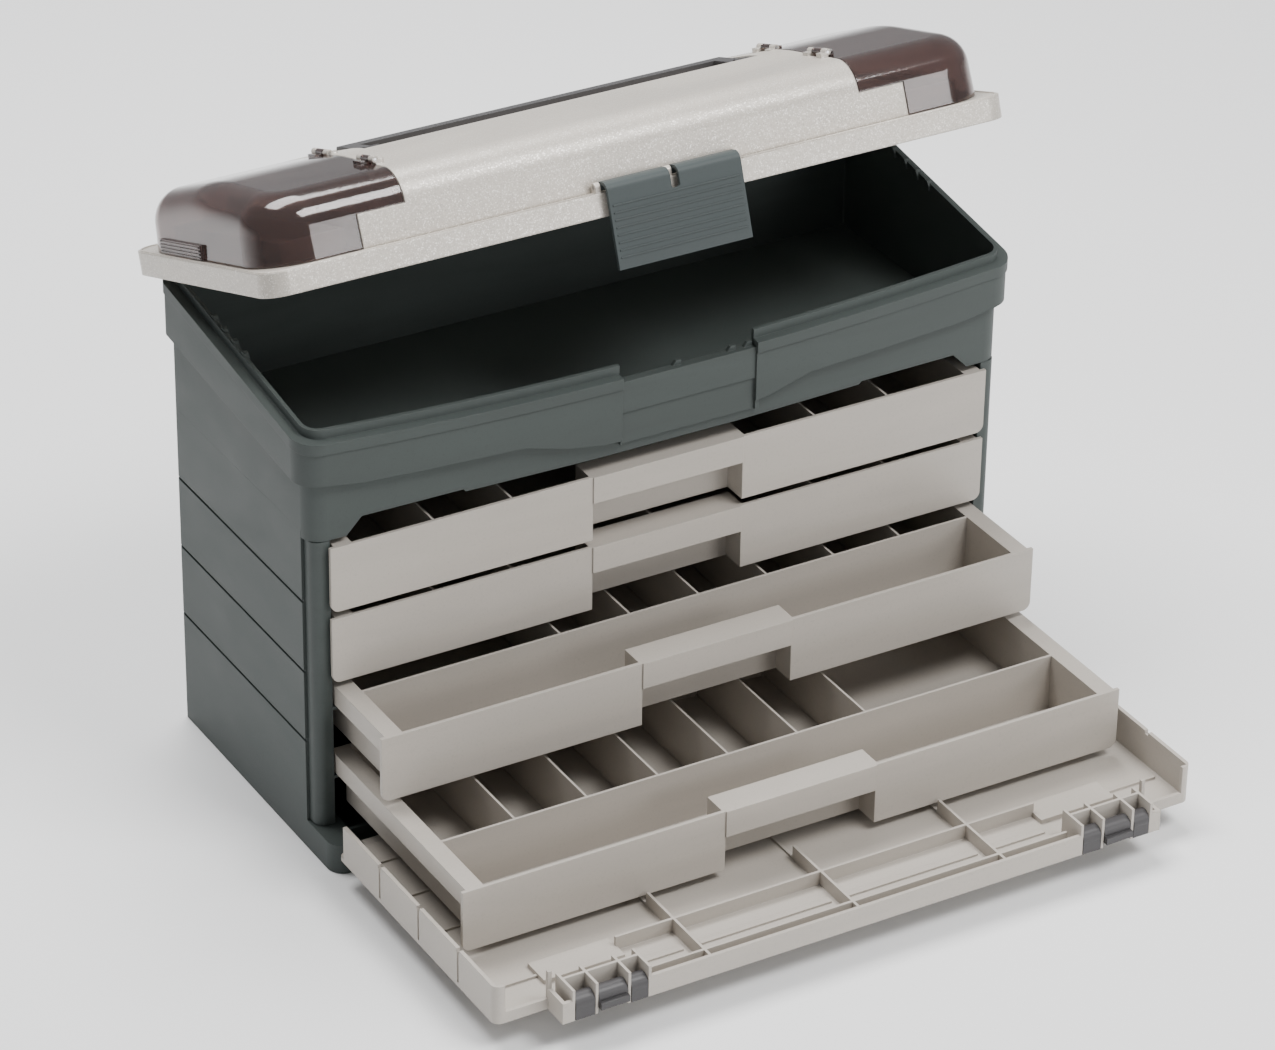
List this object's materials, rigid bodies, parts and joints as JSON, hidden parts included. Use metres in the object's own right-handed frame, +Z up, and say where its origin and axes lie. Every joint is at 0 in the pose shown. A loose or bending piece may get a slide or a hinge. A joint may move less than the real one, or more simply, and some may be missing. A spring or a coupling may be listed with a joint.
{
  "type": "fishing tackle box",
  "caption": "Tackle box with stacked front drawers behind a fold-down cover, a deep open tub, and a domed hinged lid with clear-covered end compartments.",
  "frame": {"origin": "middle of the underside of the base, on the surface it stands on", "axes": "+Z up, -Y is the front that the drawers open towards, +X to the right of someone who faces the front"},
  "size_m": [0.565, 0.5105, 0.4659],
  "materials": {
    "green_grey": "satin",
    "sand": "satin",
    "sand_flake": "satin",
    "smoke": "gloss",
    "dark": "satin",
    "slate": "satin",
    "pin": "satin"
  },
  "bodies": {
    "cabinet": {"cabinet_shell": "green_grey", "left_rail_frame": "green_grey", "right_rail_frame": "green_grey", "tub": "green_grey", "lid_hinge_pins": "pin", "cover_hinge_pins": "pin"},
    "drawer_1": {"drawer_1_tray": "sand", "drawer_1_dividers": "sand"},
    "drawer_2": {"drawer_2_tray": "sand", "drawer_2_dividers": "sand"},
    "drawer_3": {"drawer_3_tray": "sand", "drawer_3_dividers": "sand"},
    "drawer_4": {"drawer_4_tray": "sand", "drawer_4_dividers": "sand"},
    "lid": {"lid_frame": "sand_flake", "lid_dome": "sand_flake", "handle_pins": "pin", "lid_latch_pin": "pin", "top_cover_pins": "pin"},
    "handle": {"handle": "dark"},
    "lid_latch": {"lid_latch": "slate"},
    "left_top_cover": {"left_top_cover": "smoke"},
    "right_top_cover": {"right_top_cover": "smoke"},
    "front_cover": {"front_cover": "sand", "cover_latch_pins": "pin"},
    "left_cover_latch": {"left_cover_latch": "dark"},
    "right_cover_latch": {"right_cover_latch": "dark"}
  },
  "joints": [
    {"name": "drawer_1_slide", "type": "slide", "parent": "cabinet", "child": "drawer_1", "axis": [0, -1, 0], "range_m": [0, 0.18]},
    {"name": "drawer_2_slide", "type": "slide", "parent": "cabinet", "child": "drawer_2", "axis": [0, -1, 0], "range_m": [0, 0.18]},
    {"name": "drawer_3_slide", "type": "slide", "parent": "cabinet", "child": "drawer_3", "axis": [0, -1, 0], "range_m": [-0.069, 0.111]},
    {"name": "drawer_4_slide", "type": "slide", "parent": "cabinet", "child": "drawer_4", "axis": [0, -1, 0], "range_m": [-0.18, 0]},
    {"name": "lid_hinge", "type": "hinge", "parent": "cabinet", "child": "lid", "pos_m": [0, 0.124, 0.303], "axis": [-1, 0, 0], "range_deg": [-28, 72]},
    {"name": "handle_pivot", "type": "hinge", "parent": "lid", "child": "handle", "pos_m": [0, 0.05942, 0.43475], "axis": [1, 0, 0], "range_deg": [0, 90]},
    {"name": "lid_latch_pivot", "type": "hinge", "parent": "lid", "child": "lid_latch", "pos_m": [0, -0.05557, 0.43457], "axis": [-1, 0, 0], "range_deg": [0, 90]},
    {"name": "left_top_cover_hinge", "type": "hinge", "parent": "lid", "child": "left_top_cover", "pos_m": [-0.173, 0.04174, 0.44757], "axis": [0, 0.9397, -0.342], "range_deg": [0, 100]},
    {"name": "right_top_cover_hinge", "type": "hinge", "parent": "lid", "child": "right_top_cover", "pos_m": [0.173, 0.04174, 0.44757], "axis": [0, -0.9397, 0.342], "range_deg": [0, 100]},
    {"name": "front_cover_hinge", "type": "hinge", "parent": "cabinet", "child": "front_cover", "pos_m": [0, -0.1115, 0.0144], "axis": [1, 0, 0], "range_deg": [-1, 0]},
    {"name": "left_cover_latch_pivot", "type": "hinge", "parent": "front_cover", "child": "left_cover_latch", "pos_m": [-0.195, -0.3545, 0.0305], "axis": [-1, 0, 0], "range_deg": [0, 90]},
    {"name": "right_cover_latch_pivot", "type": "hinge", "parent": "front_cover", "child": "right_cover_latch", "pos_m": [0.195, -0.3545, 0.0305], "axis": [-1, 0, 0], "range_deg": [0, 90]}
  ]
}
